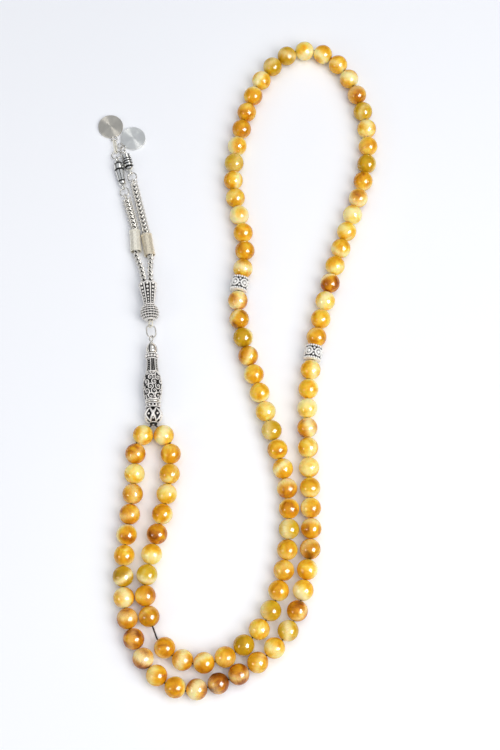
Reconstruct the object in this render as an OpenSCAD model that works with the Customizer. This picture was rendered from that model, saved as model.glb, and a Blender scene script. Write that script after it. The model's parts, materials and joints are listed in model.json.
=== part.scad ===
/* [Beads] */
// Diameter of a bead
bead_d = 8; // [7.6:0.1:8]
// Bore through a bead
bead_bore = 1.2; // [1.1:0.1:1.4]
// Length of thread that one bead takes up
bead_pitch = 8.14; // [8.12:0.01:8.16]
// Length of thread that a bead takes up where the beads lie loosely
loose_pitch = 8.4; // [8.38:0.01:8.42]
// Length of thread that the first and the last bead take up
end_pitch = 9; // [8.95:0.05:9.05]
// Diameter of the thread
thread_d = 0.7; // [0.4:0.1:0.8]

/* [Separators] */
// Diameter over the end rims of a separator
separator_d = 7.8; // [7:0.1:8]
// Length of a separator along the thread
separator_length = 6; // [5.6:0.1:6.2]

/* [Tower bead] */
// Diameter of the round foot
foot_d = 7.4; // [7:0.1:7.6]
// Greatest diameter of the bulb
bulb_d = 7.9; // [7:0.1:8]
// Diameter of the neck
neck_d = 4.5; // [4:0.1:5]
// Diameter of the fluted knob
knob_d = 4.3; // [3.8:0.1:4.6]
// Diameter of the wire pin through the tower
pin_d = 0.8; // [0.6:0.05:0.8]
// Bore for a wire pin
pin_bore = 0.9; // [0.85:0.05:0.95]

/* [Tassel] */
// Radius of the wire in the rings and eyes
wire_r = 0.3; // [0.25:0.01:0.32]
// Greatest diameter of the ribbed dome
dome_d = 7.7; // [7:0.1:7.8]
// Diameter of the flared crown at its mouth
crown_d = 7.5; // [7.3:0.1:7.6]
// Diameter of a chain
chain_d = 2.9; // [2.4:0.1:3]
// Outer diameter of a ferrule
ferrule_d = 4.3; // [4.2:0.05:4.4]
// Bore of a ferrule
ferrule_bore = 3.6; // [3.5:0.05:3.7]
// Length of a ferrule
ferrule_length = 9.6; // [9:0.1:10]
// Greatest diameter of an end cap
end_cap_d = 3.8; // [3.4:0.1:3.9]
// Diameter of a coin
coin_d = 10.5; // [10:0.1:10.6]
// Thickness of a coin
coin_t = 1.3; // [1:0.1:1.4]

/* [Hidden] */
// The beads are numbered along the thread: 1 at the tower's right, 99 at its left.
BEADS = 99;
SECTION = 33;
COUNTED = 10;
SINGLE = 11;
GROUP = 11;
FIRST_GROUPED = SINGLE + 1;
LAST_GROUPED = BEADS - SINGLE;
axis_z = bead_d / 2;
strand_z = 2.2;
link_gap = 0.15;
// How far a granule's middle is sunk into the wall that it sits on
sunk = 0.08;

// The thread's route on the table, from the tower's foot round the loop and back to it.
ROUTE = [
    [-30.9, -34.6], [-25.4, -41.5], [-26.4, -62], [-33, -91], [-34, -103], [-31, -115],
    [-22.5, -125], [-12, -127.5], [-1, -124], [9, -115.5], [15.5, -104.5], [20, -88],
    [21.4, -70], [19, -51], [4, 0], [0.8, 20], [4, 43], [-1.4, 74], [3, 101], [10, 120.5],
    [20, 133], [31.5, 137], [43, 131.5], [51, 118], [56, 98], [54, 75], [39, 28], [29.4, -18],
    [29.8, -64], [29.3, -85], [22.5, -112], [9, -127], [-8, -135.5],
    [-21, -137], [-33, -127.5], [-41, -109], [-42.5, -88], [-39.3, -58], [-39, -41.5],
    [-33.6, -34.6]
];
// The first and last numbers of the beads that lie loosely: at the bends
LOOSE = [[11, 17], [42, 56], [79, 87]];
function is_loose(n) = len([for (range = LOOSE) if (n >= range[0] && n <= range[1]) n]) > 0;
function room(n) = n == 1 || n == BEADS ? end_pitch : is_loose(n) ? loose_pitch : bead_pitch;
// Beads 1 to 9 are laid out from the route's start, and the others from its end.
START_LENGTHS = [for (n = [1:COUNTED - 1]) room(n)];
separator_pitch = separator_length + bead_pitch - bead_d;
END_LENGTHS = [
    for (n = [BEADS:-1:2 * SECTION + 1]) room(n),
    separator_pitch,
    for (n = [2 * SECTION:-1:SECTION + 1]) room(n),
    separator_pitch,
    for (n = [SECTION:-1:COUNTED + 1]) room(n)
];
ROUTE_STEPS = 14;

// The tower bead: where its foot stands, and its lean to the left of +Y.
tower_foot = [-32.25, -33.9];
tower_lean = 2.8;
foot_centre = 3.9;
foot_cavity_d = 5.2;
foot_hole_d = 1.9;
band_z = [7.1, 8.8];
band_d = 5.8;
tower_ring_z = [8.8, 9.8];
tower_ring_d = 6.3;
tower_top_z = 29.8;
knob_z = [29.9, 34.4];
tower_eye_r = 1.15;
tower_eye_z = 36.4;
inner_eye_r = 0.9;
eye_turn = -50;

// The cap: its lower eye, and the heights of its dome and crown above that eye.
jump_half = 2.65;
jump_r = 2;
cap_lean = 5.3;
cap_eye_r = 1.25;
dome_z = [1.9, 8.2];
crown_z = [7.6, 18];
crown_waist_d = 4;
crown_wall = 0.5;
CROWN_RIBS = 8;

// The two strands. A lean is an angle to the left of +Y.
ferrule_left = [[-41.75, 46], 4.6];
ferrule_right = [[-36.4, 44.3], 10.2];
chain_eye_r = 1.1;
end_ring_r = 1.9;
cap_small_eye_r = 1;
left_eye = [-46.3, 66.2];
right_eye = [-43.3, 73.2];
left_cap_span = 13.6;
right_cap_span = 10;
left_link_r = 2;
left_oval_half = 3.1;
left_oval_r = 0.9;
right_link_r = 1.65;
left_link_z = 1.6;
right_link_z = 1.65;
link_slope = 13;
long_link_z = 1.2;
lug_r = 1.2;
thin_wire = 0.25;

two_digits = function (n) n < 10 ? str("0", n) : str(n);
function bead_name(n) = str("bead_", two_digits(n));
function group_name(g) = str("beads_", FIRST_GROUPED + GROUP * g, "_to_", FIRST_GROUPED + GROUP * (g + 1) - 1);
SINGLES = [for (n = [1:BEADS]) if (n < FIRST_GROUPED || n > LAST_GROUPED) n];
GROUPS = (LAST_GROUPED - SINGLE) / GROUP;

// ---- Laying out the thread ----

// A point on the smooth curve from b to c, with a before it and d after it
function spline(a, b, c, d, t) =
    0.5 * (2 * b + (c - a) * t + (2 * a - 5 * b + 4 * c - d) * t * t + (3 * b - a - 3 * c + d) * t * t * t);

function smooth(points) = let (last = len(points) - 1) [
    for (i = [0:last - 1], k = [0:ROUTE_STEPS - 1])
        spline(points[max(i - 1, 0)], points[i], points[i + 1], points[min(i + 2, last)], k / ROUTE_STEPS),
    points[last]
];

function backwards(list) = [for (i = [len(list) - 1:-1:0]) list[i]];

// The first stretch of the path, from stretch i on, that ends at least d away from p
function stretch(path, i, p, d) = norm(path[i + 1] - p) >= d ? i : stretch(path, i + 1, p, d);

// The point between a and b that is d away from p
function at_distance(p, a, b, d) =
    let (ab = b - a, pa = a - p, h = pa * ab, q = ab * ab)
        a + ab * (sqrt(h * h - q * (pa * pa - d * d)) - h) / q;

// Points along the path whose distances from one to the next are the given lengths
function walk(path, lengths, p, i = 0, k = 0) =
    k == len(lengths) ? [p] :
    let (j = stretch(path, i, p, lengths[k]))
        [p, each walk(path, lengths, at_distance(p, path[j], path[j + 1], lengths[k]), j, k + 1)];

path = smooth(ROUTE);
path_back = backwards(path);
start_joints = walk(path, START_LENGTHS, path[0]);
end_joints = walk(path_back, END_LENGTHS, path_back[0]);
gap_from = start_joints[len(start_joints) - 1];
gap_to = end_joints[len(end_joints) - 1];
gap_way = (gap_to - gap_from) / norm(gap_to - gap_from);
free_thread = norm(gap_to - gap_from) - bead_pitch;

// The stretch of thread that a bead or a separator sits on
function end_stretch(i) = [end_joints[i + 1], end_joints[i]];
function bead_stretch(n) =
    n < COUNTED ? [start_joints[n - 1], start_joints[n]] :
    n == COUNTED ? [gap_from, gap_from + gap_way * bead_pitch] :
    end_stretch(BEADS - n + (n <= 2 * SECTION ? 1 : 0) + (n <= SECTION ? 1 : 0));
function separator_stretch(n) = end_stretch(n == 2 ? SECTION : 2 * SECTION + 1);

// Puts a piece drawn along Z on a stretch of the thread
module on_thread(ends) {
    way = ends[1] - ends[0];
    middle = (ends[0] + ends[1]) / 2;
    translate([middle.x, middle.y, axis_z])
        rotate([0, 90, atan2(way.y, way.x)])
            children();
}

// ---- Laying out the tower and the tassel ----

// The point that lies d beyond p along a lean
function beyond(p, lean, d) = p + d * [-sin(lean), cos(lean)];

// Distance between the middles of two linked rings
function linked(r1, r2) = r1 + r2 - 2 * wire_r - link_gap;

// Puts a piece that is drawn along +Y in the plane at a place, a lean and a height
module lay(p, lean, z) {
    translate([p.x, p.y, z])
        rotate([0, 0, lean])
            children();
}

// As lay, for a piece that is turned about Z
module lay_turned(p, lean, z) {
    lay(p, lean, z)
        rotate([-90, 0, 0])
            children();
}

tower_eye = beyond(tower_foot, tower_lean, tower_eye_z);
jump_middle = beyond(tower_eye, tower_lean, linked(tower_eye_r, jump_half));
cap_foot = beyond(jump_middle, cap_lean, linked(jump_half, cap_eye_r));
crown_mouth = beyond(cap_foot, cap_lean, crown_z[1]);

left_ring = beyond(left_eye, 17, linked(chain_eye_r, end_ring_r));
left_cap = beyond(left_ring, 14, linked(end_ring_r, cap_small_eye_r));
left_cap_lean = 13;
left_cap_top = beyond(left_cap, left_cap_lean, left_cap_span);
left_link = beyond(left_cap_top, 12, linked(cap_small_eye_r, left_link_r));
left_oval = beyond(left_link, 8, linked(left_link_r, left_oval_half));
left_lug = beyond(left_oval, 8, linked(left_oval_half, lug_r));
left_coin_lean = 16;

right_ring = beyond(right_eye, 16, linked(chain_eye_r, end_ring_r));
right_cap = beyond(right_ring, 16, linked(end_ring_r, cap_small_eye_r));
right_cap_lean = 17;
right_cap_top = beyond(right_cap, right_cap_lean, right_cap_span);
right_link = beyond(right_cap_top, 24, linked(cap_small_eye_r, right_link_r));
right_lug = beyond(right_link, 30, linked(right_link_r, lug_r));
right_coin_lean = -54;
lug_to_coin = coin_d / 2 + lug_r - thin_wire / 2;

// ---- Shared shapes ----

// A round wire ring in the XY plane
module ring(mean_r, wire = wire_r) {
    rotate_extrude($fn = 48)
        translate([mean_r, 0])
            circle(r = wire, $fn = 16);
}

// A long ring in the XY plane, with its length along Y
module oval_ring(half_length, mean_r, wire = wire_r) {
    straight = half_length - mean_r;
    for (end = [0, 180])
        rotate(end)
            translate([0, straight]) {
                rotate_extrude(angle = 180, $fn = 48)
                    translate([mean_r, 0])
                        circle(r = wire, $fn = 16);
                translate([mean_r, 0])
                    rotate([90, 0, 0])
                        cylinder(r = wire, h = 2 * straight, $fn = 16);
            }
}

// A tube along points, with a radius at each: pieces that bend but stay one solid
module tube(points, radii, sides) {
    last = len(points) - 1;
    rings = [
        for (i = [0:last])
            let (
                before = points[i] - points[max(i - 1, 0)],
                after = points[min(i + 1, last)] - points[i],
                way = (i == 0 ? after : i == last ? before : before / norm(before) + after / norm(after)),
                across = cross(way, [0, 0, 1]) / norm(cross(way, [0, 0, 1])),
                up = cross(across, way) / norm(way)
            )
                for (s = [0:sides - 1])
                    points[i] + radii[i] * (across * cos(360 * s / sides) + up * sin(360 * s / sides))
    ];
    sides_faces = [
        for (i = [0:last - 1], s = [0:sides - 1])
            let (t = (s + 1) % sides)
                [i * sides + s, i * sides + t, (i + 1) * sides + t, (i + 1) * sides + s]
    ];
    polyhedron(
        rings,
        [[for (s = [sides - 1:-1:0]) s], each sides_faces, [for (s = [0:sides - 1]) last * sides + s]],
        convexity = 10
    );
}

// ---- Beads, separators and thread ----

module bead(n) {
    color("goldenrod")
        on_thread(bead_stretch(n))
            difference() {
                sphere(d = bead_d, $fn = 48);
                cylinder(d = bead_bore, h = bead_d + 1, center = true, $fn = 24);
            }
}

module bead_group(g) {
    for (n = [FIRST_GROUPED + GROUP * g:FIRST_GROUPED + GROUP * (g + 1) - 1])
        bead(n);
}

// A drum with two rims and a row of bosses
module separator(n) {
    rim = 0.9;
    drum_r = separator_d / 2 - 0.5;
    boss_r = 0.8;
    bosses = 9;
    half = separator_length / 2;
    color("silver")
        on_thread(separator_stretch(n))
            difference() {
                union() {
                    cylinder(r = drum_r, h = separator_length, center = true, $fn = 48);
                    for (side = [-1, 1])
                        translate([0, 0, side * (half - rim / 2)])
                            cylinder(d = separator_d, h = rim, center = true, $fn = 48);
                    for (k = [0:bosses - 1])
                        rotate(360 * k / bosses)
                            translate([drum_r - 0.4, 0, 0])
                                sphere(r = boss_r, $fn = 20);
                }
                cylinder(d = bead_bore, h = separator_length + 1, center = true, $fn = 24);
            }
}

// The two ends of the thread run up into the tower's foot, side by side.
module thread() {
    knot_side = thread_d / 2 + 0.03;
    inside = beyond(tower_foot, tower_lean, 2.4);
    route = [
        inside + [knot_side, 0],
        tower_foot + [knot_side, -0.1],
        each start_joints,
        each backwards(end_joints),
        tower_foot + [-knot_side, -0.1],
        inside + [-knot_side, 0]
    ];
    color("saddlebrown")
        tube([for (p = route) [p.x, p.y, axis_z]], [for (p = route) thread_d / 2], 8);
}

// The knot that ties the thread's two ends to the pin's inner eye
module thread_knot() {
    color("saddlebrown")
        lay_turned(beyond(tower_foot, tower_lean, 3), 0, axis_z)
            cylinder(d = 1.7, h = 1, center = true, $fn = 24);
}

// ---- Tower bead ----

module imame_foot() {
    granules = 10;
    color("dimgray")
        lay_turned(tower_foot, tower_lean, axis_z)
            difference() {
                union() {
                    translate([0, 0, foot_centre])
                        sphere(d = foot_d, $fn = 48);
                    cylinder(d1 = 2.5, d2 = 3.4, h = 1.6, $fn = 32);
                    translate([0, 0, band_z[0] - 0.6])
                        cylinder(d = band_d, h = band_z[1] - band_z[0] + 0.6, $fn = 48);
                    for (k = [0:granules - 1])
                        rotate(360 * k / granules)
                            translate([band_d / 2 - sunk, 0, (band_z[0] + band_z[1]) / 2])
                                sphere(r = 0.4, $fn = 16);
                }
                translate([0, 0, foot_centre])
                    sphere(d = foot_cavity_d, $fn = 48);
                translate([0, 0, -1])
                    cylinder(d = foot_hole_d, h = foot_centre, $fn = 32);
                translate([0, 0, foot_centre])
                    cylinder(d = pin_bore, h = band_z[1], $fn = 24);
            }
}

module imame_ring() {
    height = tower_ring_z[1] - tower_ring_z[0];
    color("silver")
        lay_turned(tower_foot, tower_lean, axis_z)
            translate([0, 0, tower_ring_z[0]])
                rotate_extrude($fn = 48)
                    difference() {
                        union() {
                            square([tower_ring_d / 2 - height / 2, height]);
                            translate([tower_ring_d / 2 - height / 2, height / 2])
                                circle(d = height, $fn = 24);
                        }
                        translate([-1, -1])
                            square([1 + pin_bore / 2, height + 2]);
                    }
}

// The outline of the bulb and neck, as radius and height above the tower's ring
function tower_outline(grow) = [
    for (p = [
        [tower_ring_d / 2, 0], [bulb_d * 0.46, 2], [bulb_d * 0.49, 4], [bulb_d / 2, 6],
        [bulb_d * 0.49, 8], [bulb_d * 0.44, 10], [bulb_d * 0.36, 11.6], [neck_d * 0.55, 13.2],
        [neck_d / 2, 15], [neck_d / 2, 17.4], [neck_d * 0.54, 18], [neck_d * 0.54, 20]
    ])
        [p[0] + grow, p[1]]
];

module imame_tower() {
    wall = 0.8;
    base = tower_ring_z[1];
    twists = 8;
    outline = tower_outline(0);
    inner = [for (p = tower_outline(-wall)) if (p[1] > 0 && p[1] < 13) p];
    color("dimgray")
        lay_turned(tower_foot, tower_lean, axis_z)
            difference() {
                union() {
                    translate([0, 0, base])
                        rotate_extrude($fn = 48)
                            polygon([[0, 0], each outline, [0, 20]]);
                    for (k = [0:twists - 1])
                        rotate(360 * k / twists)
                            translate([neck_d / 2, 0, base + 13])
                                cylinder(r = 0.3, h = 5, $fn = 16);
                    for (k = [0:twists - 1])
                        rotate(360 * (k + 0.5) / twists)
                            translate([neck_d * 0.54 - sunk, 0, base + 19])
                                sphere(r = 0.45, $fn = 16);
                }
                translate([0, 0, base])
                    rotate_extrude($fn = 48)
                        polygon([[0, 1.5], each inner, [0, 12.5]]);
                cylinder(d = pin_bore, h = tower_top_z + 1, $fn = 24);
            }
}

module imame_knob() {
    height = knob_z[1] - knob_z[0];
    flutes = 8;
    color("silver")
        lay_turned(tower_foot, tower_lean, axis_z)
            translate([0, 0, knob_z[0]])
                difference() {
                    rotate_extrude($fn = 48)
                        polygon([
                            [0, 0], [knob_d * 0.36, 0], [knob_d * 0.46, height * 0.18],
                            [knob_d / 2, height * 0.42], [knob_d * 0.45, height * 0.68],
                            [knob_d * 0.28, height * 0.92], [0.8, height], [0, height]
                        ]);
                    for (k = [0:flutes - 1])
                        rotate(360 * k / flutes)
                            translate([knob_d / 2 + 0.1, 0, -1])
                                cylinder(r = 0.3, h = height + 2, $fn = 16);
                    translate([0, 0, -1])
                        cylinder(d = pin_bore, h = height + 2, $fn = 24);
                }
}

// A wire through the whole tower, with an eye at each end
module imame_pin() {
    inner_eye_z = foot_centre + 0.9;
    color("silver")
        lay_turned(tower_foot, tower_lean, axis_z) {
            translate([0, 0, inner_eye_z + inner_eye_r])
                cylinder(d = pin_d, h = tower_eye_z - tower_eye_r - inner_eye_z - inner_eye_r, $fn = 24);
            translate([0, 0, inner_eye_z])
                rotate([90, 0, 0])
                    ring(inner_eye_r);
            translate([0, 0, tower_eye_z])
                rotate([90, 0, eye_turn])
                    ring(tower_eye_r);
        }
}

// ---- Cap of the tassel ----

module jump_ring() {
    color("silver")
        lay(jump_middle, (tower_lean + cap_lean) / 2, axis_z)
            rotate([0, 25, 0])
                oval_ring(jump_half, jump_r);
}

module cap_pin() {
    inner_eye_z = 13;
    color("tan")
        lay_turned(cap_foot, cap_lean, axis_z) {
            rotate([90, 0, eye_turn])
                ring(cap_eye_r);
            translate([0, 0, cap_eye_r])
                cylinder(d = pin_d, h = inner_eye_z - cap_eye_r - inner_eye_r, $fn = 24);
            translate([0, 0, inner_eye_z])
                rotate([90, 0, 0])
                    ring(inner_eye_r);
        }
}

// A bowl with raised rings, open towards the crown
module cap_dome() {
    low = dome_z[0];
    high = dome_z[1];
    r = dome_d / 2;
    wall = 0.6;
    outline = [[r * 0.6, 0], [r * 0.84, 0.9], [r * 0.95, 2], [r * 0.96, 3.4], [r * 0.9, 4.8], [r * 0.72, 6.3]];
    color("silver")
        lay_turned(cap_foot, cap_lean, axis_z)
            translate([0, 0, low])
                difference() {
                    union() {
                        rotate_extrude($fn = 48)
                            polygon([[0, 0], each outline, [0, high - low]]);
                        for (k = [1:4])
                            translate([0, 0, outline[k][1]])
                                ring(outline[k][0] - 0.1, 0.25);
                    }
                    rotate_extrude($fn = 48)
                        polygon([
                            [0, wall], [r * 0.5, wall], each [for (k = [1:4]) outline[k] - [wall, 0]],
                            [crown_waist_d / 2 + 0.05, high - low - 0.6],
                            [crown_waist_d / 2 + 0.05, high - low + 1], [0, high - low + 1]
                        ]);
                    translate([0, 0, -1])
                        cylinder(d = pin_bore, h = 3, $fn = 24);
                }
}

// A flared cup with upright ribs and a row of granules between each two
module cap_crown() {
    height = crown_z[1] - crown_z[0];
    waist_r = crown_waist_d / 2;
    mouth_r = crown_d / 2;
    flare = atan2(mouth_r - 0.3 - waist_r, height - 1.6);
    GRANULES = 5;
    color("silver")
        lay_turned(cap_foot, cap_lean, axis_z)
            translate([0, 0, crown_z[0]])
                difference() {
                    union() {
                        rotate_extrude($fn = 48)
                            polygon([[0, 0], [waist_r, 0], [waist_r, 1.6], [mouth_r - 0.3, height], [0, height]]);
                        for (k = [0:CROWN_RIBS - 1])
                            rotate(360 * k / CROWN_RIBS)
                                translate([waist_r - 0.05, 0, 1.6])
                                    rotate([0, flare, 0])
                                        cylinder(r = 0.3, h = height - 2, $fn = 16);
                        for (k = [0:CROWN_RIBS - 1], g = [0:GRANULES - 1])
                            rotate(360 * (k + 0.5) / CROWN_RIBS)
                                translate([waist_r + 0.3 + g * 0.25, 0, 3 + g * 1.55])
                                    sphere(r = 0.36 + 0.07 * g, $fn = 16);
                    }
                    rotate_extrude($fn = 48)
                        polygon([
                            [0, 1], [waist_r - crown_wall, 1], [waist_r - crown_wall, 1.8],
                            [mouth_r - 0.3 - crown_wall, height], [mouth_r, height], [mouth_r, height + 2],
                            [0, height + 2]
                        ]);
                    translate([0, 0, -1])
                        cylinder(d = pin_bore, h = 3, $fn = 24);
                }
}

// ---- Chains and ferrules ----

// The lower chain runs from inside the crown to a point inside its ferrule.
chain_r = chain_d / 2;
root_r = 0.95;
root_side = 1.15;
chain_mouth_r = 1.25;
mouth_side = 1.45;
fold_depth = 1.6;

function ferrule_point(ferrule, d) = beyond(ferrule[0], ferrule[1], d);
function lifted(p, z) = [p.x, p.y, z];
function lower_chain(side, ferrule) =
    let (
        across = [cos(cap_lean), sin(cap_lean)],
        root = beyond(crown_mouth, cap_lean, -3.4) + side * root_side * across,
        mouth = beyond(crown_mouth, cap_lean, 0) + side * mouth_side * across,
        mid = (beyond(crown_mouth, cap_lean, 3) + ferrule_point(ferrule, -ferrule_length / 2 - 3)) / 2
            + side * 1.2 * across
    ) [
        lifted(root, axis_z), lifted((root + mouth) / 2, axis_z), lifted(mouth, axis_z - 0.05),
        lifted((mouth + mid) / 2, axis_z - 0.3), lifted(mid, axis_z - 0.9),
        lifted(ferrule_point(ferrule, -ferrule_length / 2 - 2), strand_z + 0.2),
        lifted(ferrule_point(ferrule, -ferrule_length / 2), strand_z),
        lifted(ferrule_point(ferrule, 0), strand_z),
        lifted(ferrule_point(ferrule, ferrule_length / 2 - fold_depth - 0.1), strand_z)
    ];
fold_r = 0.9;
lower_radii = [
    root_r, (root_r + chain_mouth_r) / 2, chain_mouth_r, chain_r, chain_r, chain_r, chain_r, chain_r, fold_r
];

function upper_chain(ferrule, eye) =
    let (
        low = ferrule_point(ferrule, ferrule_length / 2 - fold_depth + 0.1),
        out = ferrule_point(ferrule, ferrule_length / 2 + 1.5),
        way = (eye - out) / norm(eye - out),
        end = eye - way * (chain_eye_r - 0.1)
    ) [
        lifted(low, strand_z), lifted(ferrule_point(ferrule, ferrule_length / 2 - 0.6), strand_z),
        lifted(out, strand_z), lifted(out * 0.6 + end * 0.4, strand_z), lifted(end - way * 1.4, strand_z),
        lifted(end, strand_z)
    ];
upper_radii = [fold_r, chain_r, chain_r, chain_r, chain_r, 0.5];

module chain_lower(side, ferrule) {
    color("silver")
        tube(lower_chain(side, ferrule), lower_radii, 12);
}

module chain_upper(ferrule, eye, lean) {
    color("silver") {
        tube(upper_chain(ferrule, eye), upper_radii, 12);
        lay(eye, lean, strand_z)
            rotate([0, 70, 0])
                ring(chain_eye_r);
    }
}

// A tube that is pinched onto the chain at its middle
module ferrule(place) {
    pinch_bore = chain_d + 0.1;
    pinch_length = 2;
    color("wheat")
        lay_turned(place[0], place[1], strand_z)
            difference() {
                cylinder(d = ferrule_d, h = ferrule_length, center = true, $fn = 48);
                cylinder(d = pinch_bore, h = ferrule_length + 1, center = true, $fn = 48);
                for (side = [-1, 1])
                    translate([0, 0, side * (ferrule_length + pinch_length) / 4])
                        cylinder(d = ferrule_bore, h = (ferrule_length - pinch_length) / 2 + 0.01, center = true, $fn = 48);
            }
}

// ---- Rings, end caps and coins ----

module end_ring(p, lean) {
    color("silver")
        lay(p, lean, strand_z)
            rotate([0, -15, 0])
                ring(end_ring_r);
}

// A turned bullet with an eye at each end: a barrel, a groove, a long taper and a collar
module end_cap(p, lean, span) {
    r = end_cap_d / 2;
    neck = cap_small_eye_r;
    body = span - 2 * neck;
    color("dimgray")
        lay_turned(p, lean, strand_z) {
            rotate([90, 0, 70])
                ring(cap_small_eye_r);
            translate([0, 0, span])
                rotate([90, 0, 70])
                    ring(cap_small_eye_r);
            translate([0, 0, neck])
                rotate_extrude($fn = 48)
                    polygon([
                        [0, 0], [r * 0.5, 0], [r * 0.78, body * 0.05], [r * 0.78, body * 0.14],
                        [r * 0.66, body * 0.16], [r * 0.66, body * 0.19], [r * 0.8, body * 0.21],
                        [r * 0.98, body * 0.6], [r * 0.86, body * 0.62], [r * 0.86, body * 0.65],
                        [r, body * 0.67], [r, body * 0.82], [r * 0.82, body * 0.93],
                        [r * 0.4, body], [0, body]
                    ]);
        }
}

// A ring that slopes down from its end cap, tilted about its length
module link(p, lean, z, mean_r, tilt) {
    color("silver")
        lay(p, lean, z)
            rotate([-link_slope, 0, 0])
                rotate([0, tilt, 0])
                    ring(mean_r, thin_wire);
}

module long_link(p, lean) {
    color("tan")
        lay(p, lean, long_link_z)
            rotate([0, 62, 0])
                oval_ring(left_oval_half, left_oval_r);
}

// A coin with turned rings on its upper face, and a lug at its edge
module coin(lug, lean) {
    r = coin_d / 2;
    grooves = 8;
    step = (r - 0.5) / grooves;
    depth = 0.12;
    color("gainsboro")
        lay(lug, lean, 0) {
            translate([0, 0, coin_t - thin_wire])
                ring(lug_r, thin_wire);
            translate([0, lug_to_coin, 0])
                rotate_extrude($fn = 64)
                    polygon([
                        [0, 0], [r - 0.2, 0], [r, 0.2], [r, coin_t - 0.2], [r - 0.2, coin_t],
                        each [for (k = [grooves:-1:1]) each [[k * step, coin_t], [(k - 0.5) * step, coin_t - depth]]],
                        [0, coin_t]
                    ]);
        }
}

// ---- Nodes ----

thread();
thread_knot();
separator(1);  // separator_1
separator(2);  // separator_2
imame_foot();
imame_ring();
imame_tower();
imame_knob();
imame_pin();
jump_ring();
cap_pin();
cap_dome();
cap_crown();
chain_lower(-1, ferrule_left);  // chain_left_lower
chain_upper(ferrule_left, left_eye, 17);  // chain_left_upper
chain_lower(1, ferrule_right);  // chain_right_lower
chain_upper(ferrule_right, right_eye, 16);  // chain_right_upper
ferrule(ferrule_left);
ferrule(ferrule_right);
end_ring(left_ring, 15);  // end_ring_left
end_ring(right_ring, 16);  // end_ring_right
end_cap(left_cap, left_cap_lean, left_cap_span);  // end_cap_left
end_cap(right_cap, right_cap_lean, right_cap_span);  // end_cap_right
link(left_link, 10, left_link_z, left_link_r, -12);  // link_left_lower
long_link(left_oval, 8);  // link_left_upper
link(right_link, 27, right_link_z, right_link_r, -56);  // link_right
coin(left_lug, left_coin_lean);  // coin_left
coin(right_lug, right_coin_lean);  // coin_right
for (n = SINGLES)
    bead(n);
for (g = [0:GROUPS - 1])
    bead_group(g);
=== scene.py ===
"""The looks of the prayer beads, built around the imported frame. Lengths are in mm, apart from ROUTE."""

import json
import math
import random

import bpy
from mathutils import Matrix, Quaternion, Vector

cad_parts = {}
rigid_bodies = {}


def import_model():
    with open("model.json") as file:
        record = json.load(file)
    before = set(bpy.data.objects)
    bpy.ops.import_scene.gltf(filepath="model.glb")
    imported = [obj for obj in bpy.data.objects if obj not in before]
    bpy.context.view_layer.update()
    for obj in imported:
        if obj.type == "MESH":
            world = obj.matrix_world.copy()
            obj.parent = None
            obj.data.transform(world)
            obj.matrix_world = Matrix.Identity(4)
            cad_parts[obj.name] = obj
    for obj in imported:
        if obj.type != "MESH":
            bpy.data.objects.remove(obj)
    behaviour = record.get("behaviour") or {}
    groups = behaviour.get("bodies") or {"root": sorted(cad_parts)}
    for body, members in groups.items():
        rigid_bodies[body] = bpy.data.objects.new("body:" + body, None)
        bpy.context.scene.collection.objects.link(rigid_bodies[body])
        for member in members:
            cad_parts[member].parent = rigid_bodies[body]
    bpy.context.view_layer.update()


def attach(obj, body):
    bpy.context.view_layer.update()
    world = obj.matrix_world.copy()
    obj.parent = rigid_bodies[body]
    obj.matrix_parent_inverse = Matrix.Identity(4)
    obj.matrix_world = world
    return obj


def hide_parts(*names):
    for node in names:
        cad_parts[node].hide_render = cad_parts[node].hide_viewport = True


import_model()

MM = 0.001
TURN = 2 * math.pi

# ---- Driving dimensions, as in the CAD model ----

BEADS = 99
SECTION = 33  # beads between one separator and the next
COUNTED = 10  # beads before the bare piece of thread
SINGLE = 11  # beads at each end of the strand that turn one by one
GROUP = 11  # beads in each of the groups between
BEAD_R = 4
BORE_R = 0.6
BEAD_PITCH = 8.14
LOOSE_PITCH = 8.4
END_PITCH = 9
LOOSE = ((11, 17), (42, 56), (79, 87))  # first and last bead of each loose stretch
THREAD_R = 0.35
SEPARATOR_LENGTH = 6
SEPARATOR_R = 3.9
AXIS_Z = 4
STRAND_Z = 2.2
WIRE_R = 0.3
THIN_WIRE = 0.25
LINK_GAP = 0.15

# The thread's route on the table in metres, from the tower's foot round the loop and back to it
ROUTE = (
    (-0.0309, -0.0346), (-0.0254, -0.0415), (-0.0264, -0.062), (-0.033, -0.091), (-0.034, -0.103),
    (-0.031, -0.115), (-0.0225, -0.125), (-0.012, -0.1275), (-0.001, -0.124), (0.009, -0.1155),
    (0.0155, -0.1045), (0.02, -0.088), (0.0214, -0.07), (0.019, -0.051), (0.004, 0), (0.0008, 0.02),
    (0.004, 0.043), (-0.0014, 0.074), (0.003, 0.101), (0.01, 0.1205), (0.02, 0.133), (0.0315, 0.137),
    (0.043, 0.1315), (0.051, 0.118), (0.056, 0.098), (0.054, 0.075), (0.039, 0.028), (0.0294, -0.018),
    (0.0298, -0.064), (0.0293, -0.085), (0.0225, -0.112), (0.009, -0.127), (-0.008, -0.1355),
    (-0.021, -0.137), (-0.033, -0.1275), (-0.041, -0.109), (-0.0425, -0.088), (-0.0393, -0.058),
    (-0.039, -0.0415), (-0.0336, -0.0346),
)
ROUTE_STEPS = 14

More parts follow.
